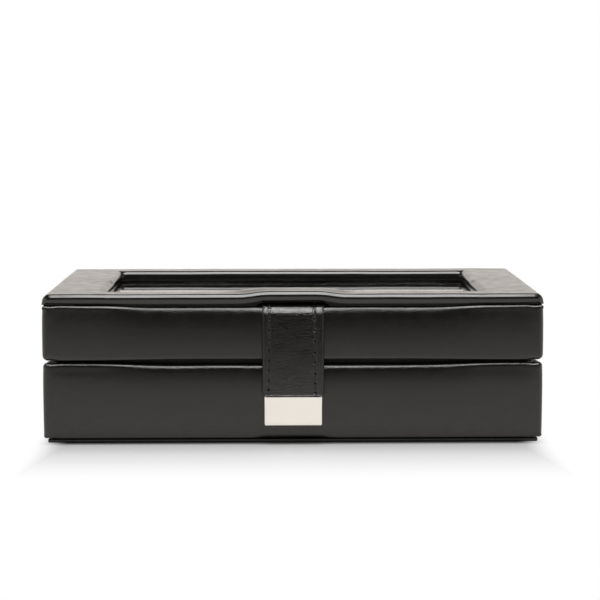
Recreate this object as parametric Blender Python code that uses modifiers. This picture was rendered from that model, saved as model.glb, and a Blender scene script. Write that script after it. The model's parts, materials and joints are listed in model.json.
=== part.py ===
"""Cufflink box with a window in its lid, a strap closure and two stop hinges.

The case is made the way leather-covered boxes are: four boards glued into a frame, a cover wrapped
round the frame and turned in over both rims, and a suede-lined insert inside. +Z is up, the strap
is at the front (-Y), and the origin is the middle of the underside. Lengths are in metres.
"""

import math

import bmesh
import bpy
from mathutils import Matrix, Vector

MM = 0.001

# Case
CASE_WIDTH = 200 * MM
CASE_DEPTH = 100 * MM
BASE_WALL_HEIGHT = 30 * MM
LID_WALL_HEIGHT = 21.7 * MM
COVER_THICKNESS = 0.9 * MM
BOARD_THICKNESS = 4 * MM
EDGE_RADIUS = 2.2 * MM
GLUE_GAP = 0.3 * MM
EDGE_SEGMENTS = 4
FINE_SEGMENTS = 2

# Bottom of the case
PLATE_THICKNESS = 1.7 * MM
PLATE_INSET = 1.6 * MM
PLATE_EDGE = 0.5 * MM
FLOOR_THICKNESS = 2.5 * MM
PAD_THICKNESS = 2 * MM

# Lined insert
COLLAR_THICKNESS = 1.6 * MM
COLLAR_RISE = 6 * MM
COLLAR_EDGE = 0.5 * MM
DIVIDER_THICKNESS = 2 * MM
DIVIDER_HEIGHT = 22 * MM
COLUMNS = 6
LAP_SHARE = 0.5

# Window panel on the lid
PANEL_BOARD = 3 * MM
PANEL_EDGE_RADIUS = 1.4 * MM
SIDE_RAIL = 24 * MM
LONG_RAIL = 13.4 * MM
PANEL_INSET = 1.3 * MM
PANEL_RAMP = 17 * MM
PANEL_RAMP_MARGIN = 1 * MM
RAMP_STEPS = 5
GLASS_THICKNESS = 2 * MM
GLASS_LAP = 5 * MM
RETAINER_THICKNESS = 1.5 * MM
RETAINER_REVEAL = 1 * MM

# Strap closure
STRAP_WIDTH = 24.5 * MM
STRAP_LAYER = 0.9 * MM
STRAP_STANDOFF = 0.4 * MM
TAB_THICKNESS = 1.2 * MM
TAB_LENGTH = 9 * MM
TAB_BEND = 2.4 * MM
TAB_DROP = 0.5 * MM
BEND_STEPS = 6
END_PLATE_WIDTH = 23 * MM
END_PLATE_HEIGHT = 12 * MM
END_PLATE_METAL = 0.6 * MM
END_PLATE_EDGE = 0.25 * MM
END_PLATE_CLEARANCE = 7.8 * MM
MAGNET_WIDTH = 16 * MM
MAGNET_HEIGHT = 8 * MM
MAGNET_THICKNESS = 0.7 * MM
KEEPER_RADIUS = 5 * MM
KEEPER_THICKNESS = 1.2 * MM
KEEPER_SIDES = 32

# Hinges
HINGE_INSET = 40 * MM
HINGE_LENGTH = 24 * MM
LEAF_THICKNESS = 0.6 * MM
LEAF_SEAT = 0.15 * MM
LEAF_PLAY = 0.3 * MM
KNUCKLE_RADIUS = 1.6 * MM
KNUCKLE_PLAY = 0.4 * MM
KNUCKLE_REACH = 1.2 * MM
LID_KNUCKLE_LENGTH = 9 * MM
PIN_RADIUS = 0.75 * MM
PIN_CLEARANCE = 0.08 * MM
PIN_OVERHANG = 0.2 * MM
STOP_LUG_LENGTH = 3.6 * MM
STOP_LUG_THICKNESS = 0.7 * MM
STOP_LUG_ROOT = 0.9 * MM
STOP_LUG_INSET = 0.3 * MM
STOP_CLEARANCE = 0.15 * MM
STOP_ANGLE = math.radians(95)
ROUND_SIDES = 20
BORE_SIDES = 16

# Hinge screws
SCREW_SPACING = 14 * MM
SCREW_HEAD_RADIUS = 1.25 * MM
SCREW_HEAD_RIM = 0.1 * MM
SCREW_HEAD_HEIGHT = 0.5 * MM
SCREW_RADIUS = 0.6 * MM
SCREW_LENGTH = 6.5 * MM
SCREW_POINT = 0.8 * MM
SCREW_CLEARANCE = 0.15 * MM
SCREW_SIDES = 12

# How far a cutter runs past what it cuts, and how near two points are one
OVERRUN = 2 * MM
WELD = 0.01 * MM

# Heights, from the table up
BASE_BOTTOM = PLATE_THICKNESS + GLUE_GAP
BASE_RIM = BASE_BOTTOM + BASE_WALL_HEIGHT
HINGE_Z = BASE_RIM + LEAF_SEAT + LEAF_THICKNESS + LEAF_PLAY / 2
LID_RIM = BASE_RIM + 2 * (LEAF_SEAT + LEAF_THICKNESS) + LEAF_PLAY
LID_TOP = LID_RIM + LID_WALL_HEIGHT
SKIN = COVER_THICKNESS + GLUE_GAP
PANEL_BOTTOM = LID_TOP + GLUE_GAP
PANEL_BOARD_TOP = PANEL_BOTTOM + PANEL_BOARD
PANEL_TOP = PANEL_BOARD_TOP + SKIN
PANEL_RISE = TAB_THICKNESS + GLUE_GAP
GLASS_TOP = PANEL_BOTTOM - GLUE_GAP
GLASS_BOTTOM = GLASS_TOP - GLASS_THICKNESS
RETAINER_TOP = GLASS_BOTTOM - GLUE_GAP
RETAINER_BOTTOM = RETAINER_TOP - RETAINER_THICKNESS
FLOOR_BOTTOM = BASE_BOTTOM + SKIN
FLOOR_TOP = FLOOR_BOTTOM + FLOOR_THICKNESS
INSERT_BOTTOM = FLOOR_TOP + GLUE_GAP
DIVIDER_BOTTOM = INSERT_BOTTOM + PAD_THICKNESS + GLUE_GAP
COLLAR_TOP = BASE_RIM + COLLAR_RISE

# Half sizes in plan, from the outside in
CASE_HALF = Vector((CASE_WIDTH / 2, CASE_DEPTH / 2))
BOARD_HALF = CASE_HALF - Vector((SKIN, SKIN))
BOARD_INNER = BOARD_HALF - Vector((BOARD_THICKNESS, BOARD_THICKNESS))
INSERT_HALF = BOARD_INNER - Vector((GLUE_GAP, GLUE_GAP))
INSERT_INNER = INSERT_HALF - Vector((COLLAR_THICKNESS, COLLAR_THICKNESS))
PANEL_HALF = CASE_HALF - Vector((0, PANEL_INSET))
WINDOW_HALF = PANEL_HALF - Vector((SIDE_RAIL, LONG_RAIL))

# Joint axes, and how far each hinge stands from the middle
HINGE_X = CASE_HALF.x - HINGE_INSET
HINGE_Y = CASE_HALF.y + GLUE_GAP + KNUCKLE_RADIUS
FLAP_THICKNESS = 2 * STRAP_LAYER + GLUE_GAP
STRAP_Y = -(CASE_HALF.y + STRAP_STANDOFF + FLAP_THICKNESS / 2)
TAB_BEND_Z = LID_TOP + GLUE_GAP + TAB_THICKNESS / 2 - TAB_BEND
TAB_END_Z = TAB_BEND_Z - TAB_DROP
STRAP_Z = TAB_END_Z - GLUE_GAP - FLAP_THICKNESS / 2


def clear_scene():
    """Empties the scene and returns a collection for the parts and one for the cutters."""
    for old in list(bpy.data.objects):
        bpy.data.objects.remove(old, do_unlink=True)
    made = []
    for name in ("cufflink_box", "cutters"):
        collection = bpy.data.collections.new(name)
        bpy.context.scene.collection.children.link(collection)
        made.append(collection)
    return made


PARTS, CUTTERS = clear_scene()


def make_material(name, colour, roughness, metallic=0.0, alpha=1.0):
    """A Principled material in a plain colour."""
    material = bpy.data.materials.new(name)
    material.use_nodes = True
    shader = material.node_tree.nodes["Principled BSDF"]
    shader.inputs["Base Color"].default_value = (*colour, 1.0)
    shader.inputs["Roughness"].default_value = roughness
    shader.inputs["Metallic"].default_value = metallic
    shader.inputs["Alpha"].default_value = alpha
    return material


LEATHER = make_material("black_leathercloth", (0.012, 0.011, 0.010), 0.35)
BOARD = make_material("fibreboard", (0.23, 0.14, 0.08), 0.8)
SUEDE = make_material("charcoal_suede", (0.02, 0.019, 0.018), 0.95)
NICKEL = make_material("nickel_plate", (0.78, 0.75, 0.71), 0.15, metallic=1.0)
STEEL = make_material("plated_steel", (0.55, 0.55, 0.55), 0.3, metallic=1.0)
GLASS = make_material("clear_glass", (0.9, 0.94, 0.92), 0.02, alpha=0.3)


def make_pivot(name, place):
    """An empty that carries one moving group, on its joint's axis."""
    pivot = bpy.data.objects.new(name, None)
    PARTS.objects.link(pivot)
    pivot.location = place
    return pivot


BASE = make_pivot("base_group", (0, 0, 0))
LID = make_pivot("lid_group", (0, HINGE_Y, HINGE_Z))
STRAP = make_pivot("strap_group", (0, STRAP_Y, STRAP_Z))


def add_part(name, data, material, centre, pivot):
    """Links an object as a part, placed by its centre in the case's own frame."""
    part = bpy.data.objects.new(name, data)
    PARTS.objects.link(part)
    data.materials.append(material)
    part.parent = pivot
    part.location = Vector(centre) - pivot.location
    return part


def add_cutter(name, data, centre):
    """Links a hidden helper that a Boolean uses."""
    cutter = bpy.data.objects.new(name, data)
    CUTTERS.objects.link(cutter)
    cutter.location = centre
    cutter.hide_render = True
    cutter.display_type = "WIRE"
    return cutter


def to_mesh(name, bm, closed=True):
    """Turns a bmesh into mesh data. A closed one gets its faces pointing out, a sheet keeps its side."""
    if closed:
        bmesh.ops.recalc_face_normals(bm, faces=bm.faces)
    mesh = bpy.data.meshes.new(name)
    bm.to_mesh(mesh)
    bm.free()
    return mesh


def box_mesh(name, low, high):
    """A box mesh about its own centre, and that centre."""
    low, high = Vector(low), Vector(high)
    bm = bmesh.new()
    bmesh.ops.create_cube(bm, size=1, matrix=Matrix.Diagonal((*(high - low), 1)))
    return to_mesh(name, bm), (low + high) / 2


def round_mesh(name, radius, length, sides):
    """A cylinder mesh along X."""
    bm = bmesh.new()
    bmesh.ops.create_cone(
        bm,
        cap_ends=True,
        segments=sides,
        radius1=radius,
        radius2=radius,
        depth=length,
        matrix=Matrix.Rotation(math.radians(90), 4, "Y"),
    )
    return to_mesh(name, bm)


def round_edges(part, radius, segments=EDGE_SEGMENTS):
    """Rounds every edge of a part."""
    if radius > 0:
        bevel = part.modifiers.new("rounded_edges", "BEVEL")
        bevel.width = radius
        bevel.segments = segments
        bevel.limit_method = "NONE"


def combine(part, operation, helper):
    """Cuts a part with a helper, or joins the helper to it."""
    boolean = part.modifiers.new(operation.lower(), "BOOLEAN")
    boolean.operation = operation
    boolean.object = helper
    boolean.solver = "EXACT"


def add_box(name, low, high, material, pivot, radius=0.0, segments=EDGE_SEGMENTS):
    """A box-shaped part between two corners."""
    mesh, centre = box_mesh(name, low, high)
    part = add_part(name, mesh, material, centre, pivot)
    round_edges(part, radius, segments)
    return part


def cut_box(part, name, low, high, radius=0.0):
    """Cuts a box-shaped space out of a part."""
    mesh, centre = box_mesh(name, low, high)
    cutter = add_cutter(name, mesh, centre)
    round_edges(cutter, radius)
    combine(part, "DIFFERENCE", cutter)


def spanning(half, bottom, top):
    """The low and high corner of a box centred on the case."""
    return (-half.x, -half.y, bottom), (half.x, half.y, top)


def smooth_share(value):
    """Eases a share from 0 to 1 with level ends."""
    value = min(max(value, 0.0), 1.0)
    return value * value * (3 - 2 * value)


def outline_curve(name, points, thickness):
    """A flat outline as a filled 2D curve, as thick as asked about its own plane."""
    curve = bpy.data.curves.new(name, "CURVE")
    curve.dimensions = "2D"
    curve.fill_mode = "BOTH"
    curve.extrude = thickness / 2
    spline = curve.splines.new("POLY")
    spline.points.add(len(points) - 1)
    for point, (x, y) in zip(spline.points, points):
        point.co = (x, y, 0, 1)
    spline.use_cyclic_u = True
    return curve


def solid_outline(name, points, thickness):
    """The same outline as mesh data with its caps welded on, ready to be cut or joined."""
    guide = add_cutter(name + "_outline", outline_curve(name, points, thickness), (0, 0, 0))
    bpy.context.view_layer.update()
    graph = bpy.context.evaluated_depsgraph_get()
    mesh = bpy.data.meshes.new_from_object(guide.evaluated_get(graph))
    bpy.data.objects.remove(guide)
    bm = bmesh.new()
    bm.from_mesh(mesh)
    bmesh.ops.remove_doubles(bm, verts=bm.verts, dist=WELD)
    bpy.data.meshes.remove(mesh)
    return to_mesh(name, bm)


def screw_mesh(name, places, direction, grow=0.0):
    """Countersunk wood screws, one closed body each, pointing up (+1) or down (-1)."""
    head = SCREW_HEAD_RADIUS + grow
    shank = SCREW_RADIUS + grow
    profile = (
        (0, -grow),
        (head, -grow),
        (head, SCREW_HEAD_RIM),
        (shank, SCREW_HEAD_HEIGHT + grow),
        (shank, SCREW_LENGTH + grow),
        (0, SCREW_LENGTH + SCREW_POINT + grow),
    )
    bm = bmesh.new()
    for place in places:
        line = [bm.verts.new((place[0] + r, place[1], place[2] + direction * z)) for r, z in profile]
        edges = [bm.edges.new(pair) for pair in zip(line, line[1:])]
        bmesh.ops.spin(
            bm,
            geom=line + edges,
            cent=place,
            axis=(0, 0, 1),
            angle=math.tau,
            steps=SCREW_SIDES,
            use_merge=True,
        )
    bmesh.ops.remove_doubles(bm, verts=bm.verts, dist=WELD)
    return to_mesh(name, bm)


SCREW_Y = (BOARD_HALF.y + BOARD_INNER.y) / 2


def screw_places(z):
    """Where the four screws of one side of both hinges stand."""
    return [
        Vector((hinge * HINGE_X + side * SCREW_SPACING / 2, SCREW_Y, z))
        for hinge in (-1, 1)
        for side in (-1, 1)
    ]


BASE_SCREWS = screw_places(BASE_RIM + LEAF_SEAT + LEAF_THICKNESS)
LID_SCREWS = screw_places(LID_RIM - LEAF_SEAT - LEAF_THICKNESS)


def drill_for_screws(part, places, direction):
    """Cuts the screw holes, grown by their clearance, out of a part that the screws pass through."""
    mesh = screw_mesh(part.name + "_screw_holes", places, direction, SCREW_CLEARANCE)
    combine(part, "DIFFERENCE", add_cutter(mesh.name, mesh, (0, 0, 0)))


def make_cover(name, bottom, top, pivot):
    """A wrap round four boards, turned in over both of their rims."""
    cover = add_box(name, *spanning(CASE_HALF, bottom, top), LEATHER, pivot, EDGE_RADIUS)
    room = CASE_HALF - Vector((COVER_THICKNESS, COVER_THICKNESS))
    inner_radius = max(EDGE_RADIUS - COVER_THICKNESS, 0)
    cut_box(
        cover,
        name + "_room",
        *spanning(room, bottom + COVER_THICKNESS, top - COVER_THICKNESS),
        inner_radius,
    )
    cut_box(cover, name + "_mouth", *spanning(BOARD_INNER, bottom - OVERRUN, top + OVERRUN))
    return cover


def make_frame(prefix, bottom, top, pivot):
    """Four boards butted at the corners, inside a cover. Returns them by side."""
    low, high = bottom + SKIN, top - SKIN
    radius = max(EDGE_RADIUS - SKIN, 0)
    side_end = BOARD_INNER.y - GLUE_GAP
    boards = {
        "front": ((-BOARD_HALF.x, -BOARD_HALF.y, low), (BOARD_HALF.x, -BOARD_INNER.y, high)),
        "back": ((-BOARD_HALF.x, BOARD_INNER.y, low), (BOARD_HALF.x, BOARD_HALF.y, high)),
        "left": ((-BOARD_HALF.x, -side_end, low), (-BOARD_INNER.x, side_end, high)),
        "right": ((BOARD_INNER.x, -side_end, low), (BOARD_HALF.x, side_end, high)),
    }
    return {
        side: add_box(f"{prefix}_{side}_board", *corners, BOARD, pivot, radius, segments=1)
        for side, corners in boards.items()
    }


def make_lining(prefix, bottom, top, pivot):
    """Four suede-covered strips inside the boards, butted at the corners."""
    side_end = INSERT_INNER.y - GLUE_GAP
    strips = {
        "front": ((-INSERT_HALF.x, -INSERT_HALF.y, bottom), (INSERT_HALF.x, -INSERT_INNER.y, top)),
        "back": ((-INSERT_HALF.x, INSERT_INNER.y, bottom), (INSERT_HALF.x, INSERT_HALF.y, top)),
        "left": ((-INSERT_HALF.x, -side_end, bottom), (-INSERT_INNER.x, side_end, top)),
        "right": ((INSERT_INNER.x, -side_end, bottom), (INSERT_HALF.x, side_end, top)),
    }
    for side, corners in strips.items():
        add_box(f"{prefix}_{side}", *corners, SUEDE, pivot, COLLAR_EDGE, FINE_SEGMENTS)


def make_base():
    """The plate, cover, boards and floor of the base."""
    plate = CASE_HALF - Vector((PLATE_INSET, PLATE_INSET))
    add_box("base_plate", *spanning(plate, 0, PLATE_THICKNESS), LEATHER, BASE, PLATE_EDGE, FINE_SEGMENTS)
    cover = make_cover("base_cover", BASE_BOTTOM, BASE_RIM, BASE)
    boards = make_frame("base", BASE_BOTTOM, BASE_RIM, BASE)
    drill_for_screws(cover, BASE_SCREWS, -1)
    drill_for_screws(boards["back"], BASE_SCREWS, -1)
    cut_keeper_pocket(boards["front"])
    floor = spanning(INSERT_HALF, FLOOR_BOTTOM, FLOOR_TOP)
    add_box("base_floor_board", *floor, BOARD, BASE)


def make_insert():
    """The collar that the lid closes over, the padded floor and the crossing dividers."""
    make_lining("collar", INSERT_BOTTOM, COLLAR_TOP, BASE)
    pad = INSERT_INNER - Vector((GLUE_GAP, GLUE_GAP))
    pad_box = spanning(pad, INSERT_BOTTOM, INSERT_BOTTOM + PAD_THICKNESS)
    add_box("floor_pad", *pad_box, SUEDE, BASE, COLLAR_EDGE, FINE_SEGMENTS)

    pitch = 2 * INSERT_INNER.x / COLUMNS
    crossings = [(column - COLUMNS / 2) * pitch for column in range(1, COLUMNS)]
    slot = DIVIDER_THICKNESS / 2 + GLUE_GAP
    lap = DIVIDER_HEIGHT * LAP_SHARE
    add_divider("long_divider", long_divider_outline(pad.x, crossings, slot, lap), (0, 0), 0)
    for number, x in enumerate(crossings, start=1):
        outline = cross_divider_outline(pad.y, slot, lap + GLUE_GAP)
        add_divider(f"cross_divider_{number}", outline, (x, 0), math.radians(90))


def long_divider_outline(half_length, crossings, slot, lap):
    """A strip with a slot from its top edge at each crossing."""
    points = [(-half_length, 0), (half_length, 0), (half_length, DIVIDER_HEIGHT)]
    for x in reversed(crossings):
        points += [(x + slot, DIVIDER_HEIGHT), (x + slot, lap), (x - slot, lap), (x - slot, DIVIDER_HEIGHT)]
    return points + [(-half_length, DIVIDER_HEIGHT)]


def cross_divider_outline(half_length, slot, lap):
    """A strip with one slot from its bottom edge, where it sits on the long divider."""
    return [
        (-half_length, 0),
        (-slot, 0),
        (-slot, lap),
        (slot, lap),
        (slot, 0),
        (half_length, 0),
        (half_length, DIVIDER_HEIGHT),
        (-half_length, DIVIDER_HEIGHT),
    ]


def add_divider(name, outline, place, turn):
    """Stands a divider up on the pad, turned about the vertical."""
    curve = outline_curve(name, outline, DIVIDER_THICKNESS)
    divider = add_part(name, curve, SUEDE, (*place, DIVIDER_BOTTOM), BASE)
    divider.rotation_euler = (math.radians(90), 0, turn)


def make_lid():
    """The cover, boards and lining of the lid, with the pane and the frame that keeps it."""
    cover = make_cover("lid_cover", LID_RIM, LID_TOP, LID)
    boards = make_frame("lid", LID_RIM, LID_TOP, LID)
    drill_for_screws(cover, LID_SCREWS, 1)
    drill_for_screws(boards["back"], LID_SCREWS, 1)
    make_lining("lid_lining", COLLAR_TOP + GLUE_GAP, RETAINER_BOTTOM - GLUE_GAP, LID)

    pane = WINDOW_HALF + Vector((GLASS_LAP, GLASS_LAP))
    add_box("window_pane", *spanning(pane, GLASS_BOTTOM, GLASS_TOP), GLASS, LID)
    frame = spanning(INSERT_HALF, RETAINER_BOTTOM, RETAINER_TOP)
    retainer = add_box("pane_retainer", *frame, SUEDE, LID)
    sight = WINDOW_HALF + Vector((RETAINER_REVEAL, RETAINER_REVEAL))
    sight_box = spanning(sight, RETAINER_BOTTOM - OVERRUN, RETAINER_TOP + OVERRUN)
    cut_box(retainer, "retainer_sight", *sight_box)


def panel_rise(x, y):
    """How far the panel is lifted where its front rail rides over the strap's tab."""
    flat = STRAP_WIDTH / 2 + PANEL_RAMP_MARGIN
    if y > 0:
        return 0.0
    return PANEL_RISE * smooth_share(1 - (abs(x) - flat) / PANEL_RAMP)


def panel_sheet(half, window):
    """The panel's top face as an open sheet round the window, lifted over the strap."""
    bm = bmesh.new()
    bmesh.ops.create_grid(bm, x_segments=1, y_segments=1, size=1, matrix=Matrix.Diagonal((*half, 1, 1)))
    flat = STRAP_WIDTH / 2 + PANEL_RAMP_MARGIN
    across = [window.x] + [flat + PANEL_RAMP * step / RAMP_STEPS for step in range(RAMP_STEPS + 1)]
    planes = [((side * x, 0, 0), (1, 0, 0)) for x in across for side in (-1, 1)]
    planes += [((0, side * window.y, 0), (0, 1, 0)) for side in (-1, 1)]
    for place, normal in planes:
        everything = bm.verts[:] + bm.edges[:] + bm.faces[:]
        bmesh.ops.bisect_plane(bm, geom=everything, dist=WELD, plane_co=place, plane_no=normal)
    inside = [
        face
        for face in bm.faces
        if abs(face.calc_center_median().x) < window.x and abs(face.calc_center_median().y) < window.y
    ]
    bmesh.ops.delete(bm, geom=inside, context="FACES")
    for vert in bm.verts:
        vert.co.z = panel_rise(vert.co.x, vert.co.y)
    return bm


def add_skin(part, thickness):
    """Thickens an open sheet inwards."""
    solidify = part.modifiers.new("thickness", "SOLIDIFY")
    solidify.thickness = thickness
    solidify.offset = -1
    solidify.use_even_offset = True


def make_panel():
    """The window panel: a stiff frame under a cover that is drawn down over all its edges."""
    gap = Vector((SKIN, SKIN))
    sheet = to_mesh("panel_board", panel_sheet(PANEL_HALF - gap, WINDOW_HALF + gap), closed=False)
    add_skin(add_part("panel_board", sheet, BOARD, (0, 0, PANEL_BOARD_TOP), LID), PANEL_BOARD)

    bm = panel_sheet(PANEL_HALF, WINDOW_HALF)
    rims = [edge for edge in bm.edges if edge.is_boundary]
    skirts = bmesh.ops.extrude_edge_only(bm, edges=rims)["geom"]
    lowered = [item for item in skirts if isinstance(item, bmesh.types.BMVert)]
    bmesh.ops.translate(bm, verts=lowered, vec=(0, 0, PANEL_BOTTOM - PANEL_TOP))
    reach = PANEL_HALF - Vector((WELD, WELD))
    corners = [
        edge
        for edge in bm.edges
        if all(abs(vert.co.x) > reach.x and abs(vert.co.y) > reach.y for vert in edge.verts)
    ]
    bmesh.ops.bevel(
        bm,
        geom=rims + corners,
        offset=PANEL_EDGE_RADIUS,
        offset_type="OFFSET",
        segments=EDGE_SEGMENTS,
        profile=0.5,
        affect="EDGES",
        material=-1,
    )
    sheet = to_mesh("panel_cover", bm, closed=False)
    add_skin(add_part("panel_cover", sheet, LEATHER, (0, 0, PANEL_TOP), LID), COVER_THICKNESS)


def tab_outline():
    """The side view of the tab: under the panel, over the lid's front edge and down."""
    half = TAB_THICKNESS / 2
    turns = [math.radians(90) * (1 + step / BEND_STEPS) for step in range(BEND_STEPS + 1)]
    points = []
    for radius, order in ((TAB_BEND + half, 1), (TAB_BEND - half, -1)):
        arc = [(radius * math.cos(turn), radius * math.sin(turn)) for turn in turns]
        run = [(TAB_LENGTH, radius), *arc, (-radius, -TAB_DROP)]
        points += run[::order]
    return points


def cut_keeper_pocket(board):
    """Sinks a round pocket in the base's front board for the steel keeper, and adds the keeper."""
    centre = Vector((0, 0, END_PLATE_CLEARANCE + END_PLATE_HEIGHT / 2))
    face = -BOARD_HALF.y
    depth = KEEPER_THICKNESS + GLUE_GAP
    pocket = round_mesh("keeper_pocket", KEEPER_RADIUS + GLUE_GAP, 2 * depth, KEEPER_SIDES)
    cutter = add_cutter("keeper_pocket", pocket, centre + Vector((0, face, 0)))
    cutter.rotation_euler.z = math.radians(90)
    combine(board, "DIFFERENCE", cutter)
    disc = round_mesh("closure_keeper", KEEPER_RADIUS, KEEPER_THICKNESS, KEEPER_SIDES)
    place = centre + Vector((0, face + KEEPER_THICKNESS / 2, 0))
    add_part("closure_keeper", disc, STEEL, place, BASE).rotation_euler.z = math.radians(90)


def make_strap():
    """The strap: a tab held under the panel, and a flap with a metal end that swings from it."""
    tab = outline_curve("strap_tab", tab_outline(), STRAP_WIDTH)
    tab_part = add_part("strap_tab", tab, LEATHER, (0, STRAP_Y + TAB_BEND, TAB_BEND_Z), LID)
    tab_part.rotation_euler = (math.radians(90), 0, math.radians(90))

    plate_bottom = END_PLATE_CLEARANCE
    plate_top = plate_bottom + END_PLATE_HEIGHT
    flap_top = STRAP_Z + FLAP_THICKNESS / 2
    front = STRAP_Y - FLAP_THICKNESS / 2
    back = STRAP_Y + FLAP_THICKNESS / 2
    shoulder = plate_top + GLUE_GAP
    tongue = END_PLATE_WIDTH / 2 - END_PLATE_METAL - GLUE_GAP
    tongue_end = plate_bottom + END_PLATE_METAL + GLUE_GAP
    half = STRAP_WIDTH / 2

    face_outline = [
        (-tongue, tongue_end),
        (tongue, tongue_end),
        (tongue, shoulder),
        (half, shoulder),
        (half, flap_top),
        (-half, flap_top),
        (-half, shoulder),
        (-tongue, shoulder),
    ]
    lining_outline = [(-half, shoulder), (half, shoulder), (half, flap_top), (-half, flap_top)]
    add_flap_layer("strap_face", face_outline, front + STRAP_LAYER / 2, outward=-1)
    add_flap_layer("strap_lining", lining_outline, back - STRAP_LAYER / 2, outward=1)

    plate_front = front - GLUE_GAP - END_PLATE_METAL
    plate_half = END_PLATE_WIDTH / 2
    low = (-plate_half, plate_front, plate_bottom)
    high = (plate_half, back, plate_top)
    plate = add_box("strap_end_plate", low, high, NICKEL, STRAP, END_PLATE_EDGE, FINE_SEGMENTS)
    room = tongue + GLUE_GAP
    cut_box(
        plate,
        "end_plate_room",
        (-room, front - GLUE_GAP, plate_bottom + END_PLATE_METAL),
        (room, back + OVERRUN, plate_top + OVERRUN),
    )
    magnet_front = front + STRAP_LAYER + GLUE_GAP
    middle = (tongue_end + plate_top) / 2
    add_box(
        "strap_magnet",
        (-MAGNET_WIDTH / 2, magnet_front, middle - MAGNET_HEIGHT / 2),
        (MAGNET_WIDTH / 2, magnet_front + MAGNET_THICKNESS, middle + MAGNET_HEIGHT / 2),
        STEEL,
        STRAP,
    )


def add_flap_layer(name, outline, y, outward):
    """One layer of the flap, its top edge rounded on the outer side so that it turns under the tab."""
    flap_top = max(z for _, z in outline)
    bm = bmesh.new()
    bm.from_mesh(solid_outline(name, outline, STRAP_LAYER))
    bmesh.ops.rotate(bm, verts=bm.verts, matrix=Matrix.Rotation(math.radians(90), 3, "X"))
    bmesh.ops.translate(bm, verts=bm.verts, vec=(0, 0, -STRAP_Z))
    reach = STRAP_LAYER / 2 - WELD
    edge = [
        item
        for item in bm.edges
        if all(v.co.z > flap_top - STRAP_Z - WELD and v.co.y * outward > reach for v in item.verts)
    ]
    bmesh.ops.bevel(
        bm,
        geom=edge,
        offset=STRAP_LAYER - WELD,
        offset_type="OFFSET",
        segments=EDGE_SEGMENTS,
        profile=0.5,
        affect="EDGES",
        material=-1,
    )
    add_part(name, to_mesh(name, bm), LEATHER, (0, y, STRAP_Z), STRAP)


def leaf_outline(spans):
    """A leaf in plan, from its inner edge to the barrel, with a tongue for each knuckle span."""
    half = HINGE_LENGTH / 2
    inner = BOARD_INNER.y + GLUE_GAP - HINGE_Y
    edge = -(KNUCKLE_RADIUS + GLUE_GAP)
    points = [(-half, inner), (half, inner)]
    if spans[-1][1] < half:
        points.append((half, edge))
    for start, end in reversed(spans):
        tongue = [(end, edge), (end, -KNUCKLE_REACH), (start, -KNUCKLE_REACH), (start, edge)]
        if end >= half:
            tongue = tongue[1:]
        if start <= -half:
            tongue = tongue[:-1]
        points += tongue
    if spans[0][0] > -half:
        points.append((-half, edge))
    return points


def make_leaf(name, x, spans, side, pivot):
    """A hinge leaf below (-1) or above (+1) the axis, joined to its knuckles and bored for the pin."""
    mesh = solid_outline(name, leaf_outline(spans), LEAF_THICKNESS)
    z = HINGE_Z + side * (LEAF_PLAY + LEAF_THICKNESS) / 2
    leaf = add_part(name, mesh, STEEL, (x, HINGE_Y, z), pivot)
    for number, (start, end) in enumerate(spans, start=1):
        knuckle = round_mesh(f"{name}_knuckle_{number}", KNUCKLE_RADIUS, end - start, ROUND_SIDES)
        place = (x + (start + end) / 2, HINGE_Y, HINGE_Z)
        combine(leaf, "UNION", add_cutter(knuckle.name, knuckle, place))
    if side > 0:
        add_stop_lug(leaf, x)
    bore = round_mesh(name + "_bore", PIN_RADIUS + PIN_CLEARANCE, HINGE_LENGTH + 2 * OVERRUN, BORE_SIDES)
    combine(leaf, "DIFFERENCE", add_cutter(bore.name, bore, (x, HINGE_Y, HINGE_Z)))
    drill_for_screws(leaf, BASE_SCREWS if side < 0 else LID_SCREWS, side)


def add_stop_lug(leaf, x):
    """The lug behind the lid's knuckle. At the stop angle its tip meets the base's back face."""
    to_wall = HINGE_Y - CASE_HALF.y - STOP_CLEARANCE
    lug_bottom = (STOP_LUG_LENGTH * math.cos(STOP_ANGLE) + to_wall) / -math.sin(STOP_ANGLE)
    half = LID_KNUCKLE_LENGTH / 2 - STOP_LUG_INSET
    mesh, centre = box_mesh(
        leaf.name + "_lug",
        (-half, STOP_LUG_ROOT, lug_bottom),
        (half, STOP_LUG_LENGTH, lug_bottom + STOP_LUG_THICKNESS),
    )
    combine(leaf, "UNION", add_cutter(mesh.name, mesh, Vector((x, HINGE_Y, HINGE_Z)) + centre))


def make_hinges():
    """Two stop hinges with their pins and screws."""
    half, inner = HINGE_LENGTH / 2, LID_KNUCKLE_LENGTH / 2
    base_spans = [(-half, -inner - KNUCKLE_PLAY), (inner + KNUCKLE_PLAY, half)]
    lid_spans = [(-inner, inner)]
    for word, x in (("left", -HINGE_X), ("right", HINGE_X)):
        make_leaf(f"hinge_{word}_base_leaf", x, base_spans, -1, BASE)
        make_leaf(f"hinge_{word}_lid_leaf", x, lid_spans, 1, LID)
        pin = round_mesh(f"hinge_{word}_pin", PIN_RADIUS, HINGE_LENGTH + 2 * PIN_OVERHANG, BORE_SIDES)
        add_part(pin.name, pin, STEEL, (x, HINGE_Y, HINGE_Z), BASE)
    for word, places, way, pivot in (("base", BASE_SCREWS, -1, BASE), ("lid", LID_SCREWS, 1, LID)):
        for number, place in enumerate(places, start=1):
            screw = screw_mesh(f"{word}_hinge_screw_{number}", [Vector()], way)
            add_part(screw.name, screw, STEEL, place, pivot)


def shade_round_parts():
    """Shades the curved faces smooth and leaves the flat ones crisp."""
    for part in PARTS.objects:
        if part.type == "MESH":
            part.data.shade_smooth()
            part.data.set_sharp_from_angle(angle=math.radians(35))


make_base()
make_insert()
make_lid()
make_panel()
make_strap()
make_hinges()
shade_round_parts()
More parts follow.
